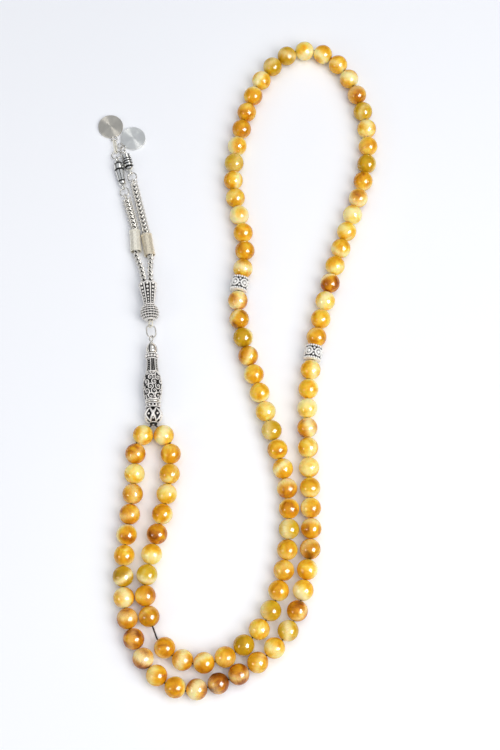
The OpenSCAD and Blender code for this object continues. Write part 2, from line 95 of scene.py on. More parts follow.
TOWER_FOOT = Vector((-32.25, -33.9))
TOWER_LEAN = 2.8
TOWER_EYE_R = 1.15
TOWER_EYE_Z = 36.4
EYE_TURN = -50
JUMP_HALF = 2.65
JUMP_R = 2
CAP_LEAN = 5.3
CAP_EYE_R = 1.25
CROWN_Z = (7.6, 18)
FERRULE_LEFT = (Vector((-41.75, 46)), 4.6)
FERRULE_RIGHT = (Vector((-36.4, 44.3)), 10.2)
FERRULE_LENGTH = 9.6
FERRULE_R = 2.15
CHAIN_EYE_R = 1.1
END_RING_R = 1.9
SMALL_EYE_R = 1
END_CAP_R = 2.05
LEFT_EYE = Vector((-46.3, 66.2))
RIGHT_EYE = Vector((-43.3, 73.2))
LEFT_CAP_LEAN = 13
LEFT_CAP_SPAN = 13.6
RIGHT_CAP_LEAN = 17
RIGHT_CAP_SPAN = 10
LEFT_LINK_R = 2
LEFT_OVAL_HALF = 3.1
LEFT_OVAL_R = 0.9
RIGHT_LINK_R = 1.65
LINK_SLOPE = 13
LUG_R = 1.2
COIN_R = 5.25
COIN_T = 1.3
LEFT_COIN_LEAN = 16
RIGHT_COIN_LEAN = -54


# ---- Laying out the thread, as the CAD model does ----

def spline(a, b, c, d, t):
    """A point on the smooth curve from b to c, with a before it and d after it."""
    return 0.5 * (2 * b + (c - a) * t + (2 * a - 5 * b + 4 * c - d) * t**2 + (3 * b - a - 3 * c + d) * t**3)


def smooth(points, steps):
    """The smooth curve through the points, with steps points for each stretch of it."""
    last = len(points) - 1
    curve = []
    for i in range(last):
        around = (points[max(i - 1, 0)], points[i], points[i + 1], points[min(i + 2, last)])
        curve += [spline(*around, k / steps) for k in range(steps)]
    return curve + [points[last]]


def walk(path, lengths):
    """Points along the path whose distances from one to the next are the given lengths."""
    places = [path[0]]
    i = 0
    for length in lengths:
        here = places[-1]
        while (path[i + 1] - here).length < length:
            i += 1
        along = path[i + 1] - path[i]
        back = path[i] - here
        h = back.dot(along)
        q = along.dot(along)
        root = math.sqrt(h * h - q * (back.dot(back) - length**2))
        places.append(path[i] + along * (root - h) / q)
    return places


def room(n):
    """The length of thread that bead n takes up."""
    if n in (1, BEADS):
        return END_PITCH
    return LOOSE_PITCH if any(low <= n <= high for low, high in LOOSE) else BEAD_PITCH


SEPARATOR_PITCH = SEPARATOR_LENGTH + BEAD_PITCH - 2 * BEAD_R
start_lengths = [room(n) for n in range(1, COUNTED)]
end_lengths = (
    [room(n) for n in range(BEADS, 2 * SECTION, -1)] + [SEPARATOR_PITCH]
    + [room(n) for n in range(2 * SECTION, SECTION, -1)] + [SEPARATOR_PITCH]
    + [room(n) for n in range(SECTION, COUNTED, -1)]
)
route = smooth([Vector(p) / MM for p in ROUTE], ROUTE_STEPS)
start_joints = walk(route, start_lengths)
end_joints = walk(route[::-1], end_lengths)
gap_way = (end_joints[-1] - start_joints[-1]).normalized()


def bead_stretch(n):
    """The two ends of the stretch of thread that bead n sits on."""
    if n < COUNTED:
        return start_joints[n - 1], start_joints[n]
    if n == COUNTED:
        return start_joints[-1], start_joints[-1] + gap_way * BEAD_PITCH
    i = BEADS - n + (n <= 2 * SECTION) + (n <= SECTION)
    return end_joints[i + 1], end_joints[i]


def separator_stretch(n):
    i = SECTION if n == 2 else 2 * SECTION + 1
    return end_joints[i + 1], end_joints[i]


def turned(degrees, axis):
    return Matrix.Rotation(math.radians(degrees), 4, axis)


def raised(z):
    return Matrix.Translation((0, 0, z))


def on_thread(ends):
    """Puts a piece that is drawn along Z on a stretch of the thread."""
    middle = (ends[0] + ends[1]) / 2
    way = ends[1] - ends[0]
    lean = math.degrees(math.atan2(way.y, way.x))
    return Matrix.Translation((middle.x, middle.y, AXIS_Z)) @ turned(lean, "Z") @ turned(90, "Y")


# ---- Laying out the tower and the tassel ----

def beyond(p, lean, d):
    """The point that lies d beyond p along a lean, an angle to the left of +Y."""
    angle = math.radians(lean)
    return p + d * Vector((-math.sin(angle), math.cos(angle)))


def linked(r1, r2):
    """The distance between the middles of two linked rings."""
    return r1 + r2 - 2 * WIRE_R - LINK_GAP


def lay(p, lean, z):
    return Matrix.Translation((p.x, p.y, z)) @ turned(lean, "Z")


def lay_turned(p, lean, z):
    """As lay, for a piece that is drawn along Z. Its -Y side faces up."""
    return lay(p, lean, z) @ turned(-90, "X")


tower_eye = beyond(TOWER_FOOT, TOWER_LEAN, TOWER_EYE_Z)
jump_middle = beyond(tower_eye, TOWER_LEAN, linked(TOWER_EYE_R, JUMP_HALF))
cap_foot = beyond(jump_middle, CAP_LEAN, linked(JUMP_HALF, CAP_EYE_R))
crown_mouth = beyond(cap_foot, CAP_LEAN, CROWN_Z[1])
left_ring = beyond(LEFT_EYE, 17, linked(CHAIN_EYE_R, END_RING_R))
left_cap = beyond(left_ring, 14, linked(END_RING_R, SMALL_EYE_R))
left_cap_top = beyond(left_cap, LEFT_CAP_LEAN, LEFT_CAP_SPAN)
left_link = beyond(left_cap_top, 12, linked(SMALL_EYE_R, LEFT_LINK_R))
left_oval = beyond(left_link, 8, linked(LEFT_LINK_R, LEFT_OVAL_HALF))
left_lug = beyond(left_oval, 8, linked(LEFT_OVAL_HALF, LUG_R))
right_ring = beyond(RIGHT_EYE, 16, linked(CHAIN_EYE_R, END_RING_R))
right_cap = beyond(right_ring, 16, linked(END_RING_R, SMALL_EYE_R))
right_cap_top = beyond(right_cap, RIGHT_CAP_LEAN, RIGHT_CAP_SPAN)
right_link = beyond(right_cap_top, 24, linked(SMALL_EYE_R, RIGHT_LINK_R))
right_lug = beyond(right_link, 30, linked(RIGHT_LINK_R, LUG_R))

TOWER = lay_turned(TOWER_FOOT, TOWER_LEAN, AXIS_Z)
CAP = lay_turned(cap_foot, CAP_LEAN, AXIS_Z)


# ---- Mesh tools ----

class Shape:
    """The vertices and faces of one piece, with the number of each face's material."""

    def __init__(self):
        self.verts = []
        self.faces = []
        self.mats = []

    def add(self, verts, faces, mats, place):
        start = len(self.verts)
        self.verts += [place @ v for v in verts]
        self.faces += [[start + i for i in face] for face in faces]
        self.mats += mats


HERE = Matrix.Identity(4)


def around(r, a, z):
    """The point at a distance from Z, an angle about it and a height."""
    return r * math.cos(a), r * math.sin(a), z


def lathe(shape, outline, place=HERE, sides=48, closed=False, mat=0, swell=None):
    """Turns an outline of radius and height about Z.

    swell gives a factor for the radius at an angle and an outline point. mat is the number of a material, or
    a rule that gives it for an outline point and the part of a turn where a face's middle lies.
    """
    verts = []
    rings = []
    for i, (r, z) in enumerate(outline):
        first = len(verts)
        count = 1 if r < 1e-6 else sides
        for s in range(count):
            a = TURN * s / sides
            verts.append(Vector(around(r * swell(a, i) if swell else r, a, z)))
        rings.append([first + s % count for s in range(sides)])
    faces = []
    mats = []
    for i in range(len(rings) if closed else len(rings) - 1):
        low = rings[i]
        high = rings[(i + 1) % len(rings)]
        for s in range(sides):
            t = (s + 1) % sides
            corners = list(dict.fromkeys((low[s], low[t], high[t], high[s])))
            if len(corners) > 2:
                faces.append(corners)
                mats.append(mat(i, (s + 0.5) / sides) if callable(mat) else mat)
    shape.add(verts, faces, mats, place)


def across(points, closed):
    """Two directions across the path at each of its points, carried along it without a twist."""
    count = len(points)
    ways = []
    for i in range(count):
        before = points[i - 1] if i > 0 or closed else points[i]
        after = points[(i + 1) % count] if i < count - 1 or closed else points[i]
        ways.append((after - before).normalized())
    side = ways[0].orthogonal().normalized()
    sides = []
    for way in ways + ways[:1]:
        side = (side - way * side.dot(way)).normalized()
        sides.append(side)
    slip = 0
    if closed:
        slip = math.atan2(sides[-1].cross(sides[0]).dot(ways[0]), sides[-1].dot(sides[0]))
    pairs = []
    for i, way in enumerate(ways):
        side = Quaternion(way, slip * i / count) @ sides[i]
        pairs.append((side, way.cross(side)))
    return pairs


def tube(shape, points, radius, place=HERE, sides=8, closed=False, mat=0, lobe=None):
    """Sweeps a round section along points. lobe gives a factor for the radius at a point and an angle."""
    points = [Vector(p) for p in points]
    radii = radius if isinstance(radius, list) else [radius] * len(points)
    verts = []
    for i, (u, v) in enumerate(across(points, closed)):
        for s in range(sides):
            a = TURN * s / sides
            r = radii[i] * lobe(i, a) if lobe else radii[i]
            verts.append(points[i] + r * (u * math.cos(a) + v * math.sin(a)))
    count = len(points)
    faces = []
    for i in range(count if closed else count - 1):
        j = (i + 1) % count
        for s in range(sides):
            t = (s + 1) % sides
            faces.append([i * sides + s, i * sides + t, j * sides + t, j * sides + s])
    if not closed:
        faces.append(list(range(sides))[::-1])
        faces.append([(count - 1) * sides + s for s in range(sides)])
    shape.add(verts, faces, [mat] * len(faces), place)


def faceted(a, facets):
    """The factor for the radius at an angle that makes a circle a polygon."""
    off = (a * facets / TURN) % 1 - 0.5
    return math.cos(math.pi / facets) / math.cos(TURN * off / facets)


def granule(shape, centre, r, place=HERE, sides=12):
    """A small ball."""
    steps = sides // 2
    angles = [math.pi * k / steps for k in range(1, steps)]
    outline = [(0, r), *((r * math.sin(a), r * math.cos(a)) for a in angles), (0, -r)]
    lathe(shape, outline, place @ Matrix.Translation(centre), sides)


def round_points(r, gap, straight):
    """A ring in the XY plane, open by gap at its right side, and longer along Y by twice straight."""
    count = 40
    points = []
    slit = 0 if straight else gap / r / 2
    for k in range(count + (gap > 0)):
        a = slit + (TURN - 2 * slit) * k / count
        stretch = math.copysign(straight, math.sin(a)) if abs(math.sin(a)) > 1e-6 else 0
        if straight and k in (0, count):
            stretch = math.copysign(gap / 2, count / 2 - k)
        points.append((r * math.cos(a), r * math.sin(a) + stretch, 0))
    return points


def ring(shape, r, wire, place=HERE, gap=0.0, straight=0.0):
    tube(shape, round_points(r, gap, straight), wire, place, 12, closed=gap == 0)


def arc(cx, cz, r, start, end, steps):
    """Points of an arc, as radius and height."""
    angles = [math.radians(start + (end - start) * k / steps) for k in range(steps + 1)]
    return [(cx + r * math.cos(a), cz + r * math.sin(a)) for a in angles]


def radius_at(outline, z):
    """The radius of an outline at a height."""
    for (r1, z1), (r2, z2) in zip(outline, outline[1:]):
        if z <= z2:
            return r1 + (r2 - r1) * (max(z, z1) - z1) / (z2 - z1)
    return outline[-1][0]


def on_surface(outline, a, z, out=0.0):
    """The point of a turned surface at an angle and a height."""
    return around(radius_at(outline, z) + out, a, z)


def rounded(outline, steps=4):
    """An outline of few points made smooth."""
    return [(p.x, p.y) for p in smooth([Vector(p) for p in outline], steps)]


def piece(name, shape, materials, body, nodes, sharp=50):
    """Makes the object, and lets it ride on its body in place of its CAD nodes."""
    mesh = bpy.data.meshes.new(name)
    mesh.from_pydata([v * MM for v in shape.verts], [], shape.faces)
    for material in materials:
        mesh.materials.append(material)
    mesh.polygons.foreach_set("material_index", shape.mats)
    mesh.polygons.foreach_set("use_smooth", [True] * len(shape.faces))
    mesh.update()
    mesh.set_sharp_from_angle(angle=math.radians(sharp))
    made = bpy.data.objects.new(name, mesh)
    bpy.context.scene.collection.objects.link(made)
    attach(made, body)
    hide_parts(*nodes)
    return made


# ---- Materials ----

def new_material(name):
    material = bpy.data.materials.new(name)
    material.use_nodes = True
    tree = material.node_tree
    return material, tree, tree.nodes["Principled BSDF"]


def fill(tree, node, **values):
    """Sets each value on the node's input of its name, or links it there if it is a socket."""
    for key, value in values.items():
        name = key.replace("_", " ")
        if isinstance(value, bpy.types.NodeSocket):
            tree.links.new(value, node.inputs[name])
        elif name in node.inputs:
            node.inputs[name].default_value = value
        else:
            setattr(node, key, value)
    return node


def put(tree, kind, **values):
    return fill(tree, tree.nodes.new(kind), **values)


def sum_of(tree, a, b, operation="ADD"):
    """A Math node of two numbers or sockets."""
    node = tree.nodes.new("ShaderNodeMath")
    node.operation = operation
    for i, value in enumerate((a, b)):
        if isinstance(value, bpy.types.NodeSocket):
            tree.links.new(value, node.inputs[i])
        else:
            node.inputs[i].default_value = value
    return node.outputs[0]


def ramp(tree, value, stops):
    node = tree.nodes.new("ShaderNodeValToRGB")
    tree.links.new(value, node.inputs[0])
    elements = node.color_ramp.elements
    while len(elements) < len(stops):
        elements.new(0.5)
    for element, (position, colour) in zip(elements, stops):
        element.position = position
        element.color = (*colour, 1)
    return node.outputs[0]


def mix(tree, factor, a, b):
    """Mixes two colours, each a socket or three numbers."""
    node = tree.nodes.new("ShaderNodeMix")
    node.data_type = "RGBA"
    for i, value in ((0, factor), (6, a), (7, b)):
        if isinstance(value, bpy.types.NodeSocket):
            tree.links.new(value, node.inputs[i])
        elif i:
            node.inputs[i].default_value = (*value, 1)
        else:
            node.inputs[i].default_value = value
    return node.outputs[2]


def bump(tree, shader, height, strength, distance):
    node = put(tree, "ShaderNodeBump", Height=height, Strength=strength, Distance=distance)
    fill(tree, shader, Normal=node.outputs[0])


def noise(tree, vector, scale, detail=2.0, distortion=0.0):
    node = put(tree, "ShaderNodeTexNoise", Scale=scale, Detail=detail, Distortion=distortion, Vector=vector)
    return node.outputs["Fac"]


def stretched(tree, vector, scale, turn=0.0):
    """The vector scaled along each axis and turned about Z by degrees."""
    rotation = (0, 0, math.radians(turn))
    return put(tree, "ShaderNodeMapping", Scale=scale, Rotation=rotation, Vector=vector).outputs[0]


def object_place(tree):
    """Each point's place in the object's own frame, in metres."""
    return put(tree, "ShaderNodeTexCoord").outputs["Object"]


def tiger_eye():
    """Golden tiger's eye: fine fibres across soft bands of brown, honey and cream, and a pale band of
    painted sheen, polished.
    """
    material, tree, shader = new_material("tiger_eye")
    grain = put(tree, "ShaderNodeAttribute", attribute_name="grain").outputs["Vector"]
    tone_and_sheen = put(tree, "ShaderNodeAttribute", attribute_name="tone_and_sheen").outputs["Color"]
    parts = put(tree, "ShaderNodeSeparateColor", Color=tone_and_sheen).outputs
    bands = noise(tree, stretched(tree, grain, (0.5, 1.1, 1.1)), 0.9, 2.0, 0.6)
    fibres = noise(tree, stretched(tree, grain, (0.8, 9, 9)), 1.6, 4.0, 0.3)
    level = sum_of(tree, sum_of(tree, bands, 1.3, "MULTIPLY"), -0.65)
    level = sum_of(tree, level, parts["Red"])
    level = sum_of(tree, level, sum_of(tree, sum_of(tree, fibres, -0.5), 0.3, "MULTIPLY"))
    # Painted sheen: a pale, creamy band where the fibres' chatoyant shine would be. It raises the level and
    # is mixed over the stone below.
    silk_sheen = sum_of(tree, parts["Green"], sum_of(tree, fibres, 0.45), "MULTIPLY")
    silk_sheen = put(tree, "ShaderNodeClamp", Value=silk_sheen).outputs[0]
    level = sum_of(tree, level, sum_of(tree, silk_sheen, 0.38, "MULTIPLY"))
    stone = ramp(tree, level, (
        (0.0, (0.17, 0.038, 0.001)),
        (0.2, (0.42, 0.12, 0.002)),
        (0.4, (0.66, 0.27, 0.005)),
        (0.6, (0.82, 0.41, 0.013)),
        (0.8, (0.94, 0.59, 0.05)),
        (1.0, (1.0, 0.785, 0.25)),
    ))
    stone = mix(tree, parts["Blue"], stone, (0.5, 0.36, 0.008))
    sheen = sum_of(tree, sum_of(tree, silk_sheen, silk_sheen, "MULTIPLY"), 0.85, "MULTIPLY")
    stone = mix(tree, sheen, stone, (1.0, 0.84, 0.43))
    facing = put(tree, "ShaderNodeLayerWeight", Blend=0.5).outputs["Facing"]
    polish = ramp(tree, facing, ((0.4, (0.5, 0.5, 0.5)), (0.95, (0.08, 0.08, 0.08))))
    fill(
        tree, shader, Base_Color=stone, Roughness=0.22, Specular_IOR_Level=0.12, Coat_Weight=polish,
        Coat_Roughness=0.04, Subsurface_Weight=0.5, Subsurface_Radius=(1.0, 0.55, 0.2),
        Subsurface_Scale=2.2 * MM,
    )
    bump(tree, shader, fibres, 0.06, 0.05 * MM)
    return material


def thread_fibre():
    """Waxed dark brown thread."""
    material, tree, shader = new_material("waxed_thread")
    fluff = noise(tree, object_place(tree), 2500, 3.0)
    colour = ramp(tree, fluff, ((0.3, (0.006, 0.003, 0.003)), (0.7, (0.028, 0.015, 0.01))))
    fill(tree, shader, Base_Color=colour, Roughness=0.55, Sheen_Weight=0.1)
    bump(tree, shader, fluff, 0.4, 0.05 * MM)
    return material


def silver(name, light, dark, rough, metallic, worn, reach=0.5):
    """Metal that is darkened where its surface is hidden, and rubbed light where it stands out.

    worn gives how open a spot has to be to start to be light, and to be all light. reach is how far away a
    neighbour hides it.
    """
    material, tree, shader = new_material(name)
    place = object_place(tree)
    cloud = noise(tree, place, 900, 4.0)
    scratch = noise(tree, stretched(tree, place, (6000, 700, 6000), 30), 1.0, 2.0)
    hidden = put(tree, "ShaderNodeAmbientOcclusion", samples=6, Distance=reach * MM).outputs["AO"]
    shown = sum_of(tree, hidden, sum_of(tree, sum_of(tree, cloud, -0.5), 0.25, "MULTIPLY"))
    shown = ramp(tree, shown, ((worn[0], (0, 0, 0)), (worn[1], (1, 1, 1))))
    tarnished = mix(tree, cloud, light, [c * 0.86 for c in light])
    colour = mix(tree, shown, dark, tarnished)
    gloss = ramp(tree, scratch, ((0.3, (rough * 0.75,) * 3), (0.7, (rough * 1.3,) * 3)))
    fill(tree, shader, Base_Color=colour, Metallic=metallic, Roughness=gloss)
    bump(tree, shader, scratch, 0.08, 0.02 * MM)
    return material


def oxide_and_painted_shade():
    """The blackened ground between raised work, which also serves as painted shade and painted dark
    reflection.
    """
    material, tree, shader = new_material("silver_oxide_and_painted_shade")
    grit = noise(tree, object_place(tree), 1800, 4.0)
    colour = ramp(tree, grit, ((0.3, (0.006, 0.006, 0.006)), (0.8, (0.05, 0.048, 0.045))))
    fill(tree, shader, Base_Color=colour, Metallic=0.6, Roughness=0.5)
    bump(tree, shader, grit, 0.4, 0.05 * MM)
    return material


def coin_metal(name, light, metallic):
    """A face turned on a lathe: its rings spread each highlight into a bow."""
    material, tree, shader = new_material(name)
    cloud = noise(tree, object_place(tree), 500, 3.0)
    colour = mix(tree, cloud, light, [c * 0.84 for c in light])
    tangent = put(tree, "ShaderNodeTangent", direction_type="RADIAL", axis="Z").outputs[0]
    fill(
        tree, shader, Base_Color=colour, Metallic=metallic, Roughness=0.45, Anisotropic=0.95,
        Anisotropic_Rotation=0.25, Tangent=tangent,
    )
    return material


STONE = tiger_eye()
THREAD = thread_fibre()
OXIDISED = silver("oxidised_silver", (1.0, 0.96, 0.91), (0.01, 0.009, 0.009), 0.2, 0.22, (0.28, 0.48), 0.4)
RUBBED = silver("rubbed_silver", (1.0, 0.98, 0.94), (0.02, 0.018, 0.017), 0.24, 0.15, (0.3, 0.5), 0.35)
POLISHED = silver("polished_silver", (0.92, 0.88, 0.8), (0.04, 0.036, 0.03), 0.15, 0.75, (0.25, 0.65))
ANTIQUE = silver("antique_silver", (0.92, 0.91, 0.86), (0.02, 0.018, 0.016), 0.13, 0.85, (0.35, 0.68))
BRIGHT = silver("bright_silver", (0.84, 0.81, 0.74), (0.05, 0.045, 0.04), 0.14, 0.95, (0.2, 0.7))
CHAMPAGNE = silver("champagne_metal", (0.98, 0.93, 0.79), (0.3, 0.24, 0.14), 0.26, 0.3, (0.2, 0.6))
# A darker, more golden copy of the champagne metal for the right ferrule. Its darkness is painted shade,
# cast by the left ferrule.
GOLDEN_IN_PAINTED_SHADE = silver("golden_metal_in_painted_shade", (0.93, 0.83, 0.64), (0.3, 0.22, 0.12), 0.26, 0.45, (0.2, 0.6))
CHAIN = silver("chain_silver", (1.0, 0.96, 0.88), (0.05, 0.045, 0.035), 0.2, 0.45, (0.35, 0.7))
DARK = oxide_and_painted_shade()
# One coin metal in two copies: a darker one, painted shade, for the left coin, and a lighter one, painted
# light, for the right coin.
COIN_PAINTED_SHADED = coin_metal("coin_metal_painted_shaded", (0.78, 0.74, 0.65), 0.8)
COIN_PAINTED_LIT = coin_metal("coin_metal_painted_lit", (0.94, 0.95, 0.92), 0.7)


# ---- Camera and cord ----

def make_camera():
    data = bpy.data.cameras.new("camera")
    data.lens = 67.2
    data.sensor_width = 36
    data.clip_start = 0.01
    camera = bpy.data.objects.new("camera", data)
    camera.location = (-0.0092, -0.1887, 0.5391)
    camera.rotation_euler = [math.radians(d) for d in (18.2, -1.66, 0.1)]
    bpy.context.scene.collection.objects.link(camera)
    bpy.context.scene.camera = camera


def thread_line():
    """The thread's line: straight through each bead, and turning in a short curve between two."""
    side = Vector((THREAD_R + 0.03, 0))
    spout = 0.5
    knot = 2.4
    corner = beyond(TOWER_FOOT, TOWER_LEAN, spout)
    inside = beyond(TOWER_FOOT, TOWER_LEAN, knot)
    corners = [inside + side, corner + side]
    corners += start_joints[1:] + end_joints[::-1][:-1]
    corners += [corner - side, inside - side]
    ease = 0.9
    steps = 6
    line = [corners[0]]
    for before, here, after in zip(corners, corners[1:], corners[2:]):
        a = here + (before - here).normalized() * ease
        b = here + (after - here).normalized() * ease
        for k in range(steps + 1):
            t = k / steps
            line.append(a * (1 - t)**2 + here * 2 * t * (1 - t) + b * t**2)
    line.append(corners[-1])
    return [Vector((p.x, p.y, AXIS_Z)) for p in line]


def filled(line, step):
    """The line with points added, so that no two are further apart than step."""
    points = []
    for a, b in zip(line, line[1:]):
        count = max(1, math.ceil((b - a).length / step))
        points += [a + (b - a) * k / count for k in range(count)]
    return points + [line[-1]]


def make_thread(knot):
    """The thread as three plies laid up in a twist."""
    twist_step = 0.3
    ply_length = 1.8
    line = filled(thread_line(), twist_step)
    along = [0.0]
    for a, b in zip(line, line[1:]):
        along.append(along[-1] + (b - a).length)
    shape = Shape()
    tube(
        shape, line, THREAD_R, sides=12,
        lobe=lambda i, a: 0.93 + 0.07 * math.cos(3 * a - TURN * along[i] / ply_length),
    )
    made = piece("thread_cord", shape, [THREAD], "strand", ["thread"], 80)


def make_knot():
    """The knot that ties the thread's ends to the pin: a trefoil."""
    shape = Shape()
    points = []
    steps = 60
    for k in range(steps):
        a = TURN * k / steps
        points.append((
            0.18 * (math.sin(a) + 2 * math.sin(2 * a)),
            0.18 * (math.cos(a) - 2 * math.cos(2 * a)),
            -0.22 * math.sin(3 * a),
        ))
    tube(shape, points, 0.24, lay_turned(beyond(TOWER_FOOT, TOWER_LEAN, 3), 0, AXIS_Z), closed=True)
    return piece("thread_knot_tied", shape, [THREAD], "strand", ["thread_knot"], 80)


make_camera()
make_thread(make_knot())


# ---- Beads ----

BEAD_SIDES = 40
SHOWN_R = 4.05  # the stones shown bulge a little past the CAD's


def bead_outline():
    """A ball with a bore through it and a worn edge at each mouth."""
    edge = 0.14
    mouth = math.degrees(math.acos((BORE_R + edge) / SHOWN_R))
    top = SHOWN_R * math.sin(math.radians(mouth))
    return [(BORE_R, edge - top), *arc(0, 0, SHOWN_R, -mouth, mouth, 26), (BORE_R, top - edge)]


def bead_tone(n):
    """How light a bead is, how green, how bright its band of painted sheen is, and where that band lies
    along its fibres.
    """
    draw = random.Random(700 + n)
    light = draw.gauss(0.545, 0.155)
    green = draw.choice((0, 0, 0, 0, 0.05, 0.15, 0.55))
    sheen = draw.uniform(0.35, 1.25)
    middle = draw.uniform(-0.6, 0.6)
    width = draw.uniform(0.28, 0.6)
    turn = Quaternion([draw.gauss(0, 1) for _ in range(4)]).normalized()
    shift = Vector([draw.uniform(-40, 40) for _ in range(3)])
    return light, green, sheen, middle, width, turn, shift


def make_beads(name, numbers, body, node):
    """One or more beads as one piece. grain holds each point's place in its own stone, in bead radii."""
    shape = Shape()
    grain = []
    tone_and_sheen = []
    for n in numbers:
        place = on_thread(bead_stretch(n))
        start = len(shape.verts)
        lathe(shape, bead_outline(), place, BEAD_SIDES, closed=True)
        light, green, sheen, middle, width, turn, shift = bead_tone(n)
        inverse = place.inverted()
        for v in shape.verts[start:]:
            local = turn @ ((inverse @ v) / BEAD_R)
            # A pale band of painted sheen across the bead, brightest at its middle.
            silk_sheen = sheen * math.exp(-((local.x - middle) / width)**2)
            grain += (local + shift)[:]
            # Each point's lightness, painted sheen and greenness.
            tone_and_sheen += (light, silk_sheen, green, 1)
    made = piece(name, shape, [STONE], body, [node])
    made.data.attributes.new("grain", "FLOAT_VECTOR", "POINT").data.foreach_set("vector", grain)
    made.data.attributes.new("tone_and_sheen", "FLOAT_COLOR", "POINT").data.foreach_set("color", tone_and_sheen)


for n in (*range(1, SINGLE + 1), *range(BEADS - SINGLE + 1, BEADS + 1)):
    node = f"bead_{n:02d}"
    make_beads(f"{node}_stone", [n], node, node)
for first in range(SINGLE + 1, BEADS - SINGLE + 1, GROUP):
    node = f"beads_{first}_to_{first + GROUP - 1}"
    make_beads(f"{node}_stones", range(first, first + GROUP), "strand", node)


# ---- Separators ----

def make_separator(n):
    """A drum with ring-shaped rosettes around it, columns of granules between them, and scalloped ends."""
    place = on_thread(separator_stretch(n))
    shape = Shape()
    half = SEPARATOR_LENGTH / 2
    core = SEPARATOR_R - 0.6
    rosettes = 5
    rosette_r = 1.4
    steps = 32
    lathe(
        shape,
        [(BORE_R, -half + 0.1), (BORE_R + 0.2, -half), (core - 0.5, -half), (core, -half + 0.5),
         (core, half - 0.5), (core - 0.5, half), (BORE_R + 0.2, half), (BORE_R, half - 0.1)],
        place, closed=True, mat=lambda i, s: 1 if i == 3 else 0,
    )
    for k in range(rosettes):
        a = 360 * k / rosettes
        spot = place @ turned(a, "Z")
        loop = []
        for p in range(steps):
            b = TURN * p / steps
            loop.append(around(core + 0.1, rosette_r * math.cos(b) / core, rosette_r * math.sin(b)))
        tube(shape, loop, 0.42, spot, closed=True)
        granule(shape, (core - 0.15, 0, 0), 0.8, spot)
        between = place @ turned(a + 180 / rosettes, "Z")
        for z, r in ((-1.35, 0.5), (0, 0.36), (1.35, 0.5)):
            granule(shape, (core + 0.05, 0, z), r, between)
    for side in (-1, 1):
        count = 4 * rosettes
        for k in range(count):
            a = TURN * (k + 0.5) / count
            granule(shape, around(core - 0.05, a, side * (half - 0.48)), 0.48, place)
        ring(shape, core - 0.9, 0.28, place @ raised(side * (half - 0.18)))
    name = f"separator_{n}"
    piece(f"{name}_florets", shape, [RUBBED, DARK], name, [name])


make_separator(1)
make_separator(2)


# ---- Tower bead ----

TOWER_BASE = 9.8
FOOT_CENTRE = 3.9
BULB = rounded([
    (3.15, 0), (3.63, 2), (3.87, 4), (3.95, 6), (3.87, 8), (3.48, 10), (2.84, 11.6), (2.475, 13.2),
    (2.25, 15), (2.25, 17.4), (2.43, 18), (2.43, 20),
])
GROUND = 0.38  # how deep the dark ground lies below the raised work
PIN_R = 0.38
PIN_BORE_R = 0.45
INNER_EYE_R = 0.9
BAND_GRANULES = 12


def on_ball(r, lat, lon):
    """The point at a distance from the foot's middle, a latitude and a longitude."""
    return around(r * math.cos(lat), lon, FOOT_CENTRE + r * math.sin(lat))


def make_foot():
    """A ball of crossing leaf bands over a dark ground, with a spout for the thread and a beaded waist."""
    shape = Shape()
    ball_r = 3.4
    spout = [(1.05, 0.15), (1.2, 0), (1.4, 0.05), (1.55, 0.9)]
    ball = arc(0, FOOT_CENTRE, ball_r, -58, 58, 22)
    waist = len(spout + ball)
    outline = spout + ball + [(2.7, 7.0), (2.75, 8.8), (PIN_BORE_R, 8.8), (PIN_BORE_R, 6.5)]
    outline += arc(0, FOOT_CENTRE, 2.6, 79, -66, 16)
    # The dark material covers the ball's ground under the leaves, and the spout, which is painted dark as
    # the shade under the foot.
    lathe(shape, outline, TOWER, closed=True, mat=lambda i, s: 1 if i <= waist else 0)
    leaves = 6
    studs = ((0, 0, 0.45), (0, 0.5, 0.5), (-17, 0.5, 0.3), (17, 0.5, 0.3), (-33, 0.5, 0.3), (46, 0, 0.3))
    for k in range(leaves):
        for way in (-1, 1):
            points = []
            radii = []
            steps = 22
            for j in range(steps + 1):
                t = j / steps
                lat = math.radians(-56 + 110 * t)
                points.append(on_ball(ball_r + 0.1, lat, TURN * (k + way * t) / leaves))
                radii.append(0.25 + 0.22 * math.sin(math.pi * t) ** 2)
            tube(shape, points, radii, TOWER, sides=8)
        for lat, turn, size in studs:
            spot = on_ball(ball_r + 0.08, math.radians(lat), TURN * (k + turn) / leaves)
            granule(shape, spot, size, TOWER)
    for r, wire, z in ((1.6, 0.16, 0.85), (2.85, 0.22, 7.05), (2.75, 0.18, 8.5)):
        ring(shape, r, wire, TOWER @ raised(z))
    for k in range(BAND_GRANULES):
        granule(shape, around(2.72, TURN * k / BAND_GRANULES, 7.75), 0.42, TOWER)
    piece("imame_foot_filigree", shape, [OXIDISED, DARK], "imame", ["imame_foot"])


def make_tower_ring():
    """The thin polished ring between the foot and the bulb."""
    shape = Shape()
    outline = [(PIN_BORE_R, 8.82), (2.6, 8.82), *arc(2.8, 9.3, 0.48, -90, 90, 10), (2.6, 9.78)]
    outline.append((PIN_BORE_R, 9.78))
    lathe(shape, outline, TOWER, 64, closed=True)
    piece("imame_ring_polished", shape, [POLISHED], "imame", ["imame_ring"])


def scroll(shape, place, a0, z0, size, way, start):
    """A wire coiled on the bulb round a granule, from a start angle in degrees."""
    wire = 0.23
    sunk = -0.22
    points = []
    radii = []
    steps = 26
    turns = 1.15
    for k in range(steps + 1):
        t = k / steps
        reach = size * (1 - 0.7 * t)
        b = way * (math.radians(start) + TURN * turns * t)
        z = min(max(z0 + reach * math.sin(b), 0.1), 19.8)
        a = a0 + way * reach * math.cos(b) / radius_at(BULB, z)
        points.append(on_surface(BULB, a, z, sunk))
        radii.append(wire * (0.65 + 0.35 * math.sin(math.pi * min(1, 1.2 * t + 0.1))))
    tube(shape, points, radii, place, sides=8)
    granule(shape, on_surface(BULB, a0, z0, sunk), wire * 1.1, place)


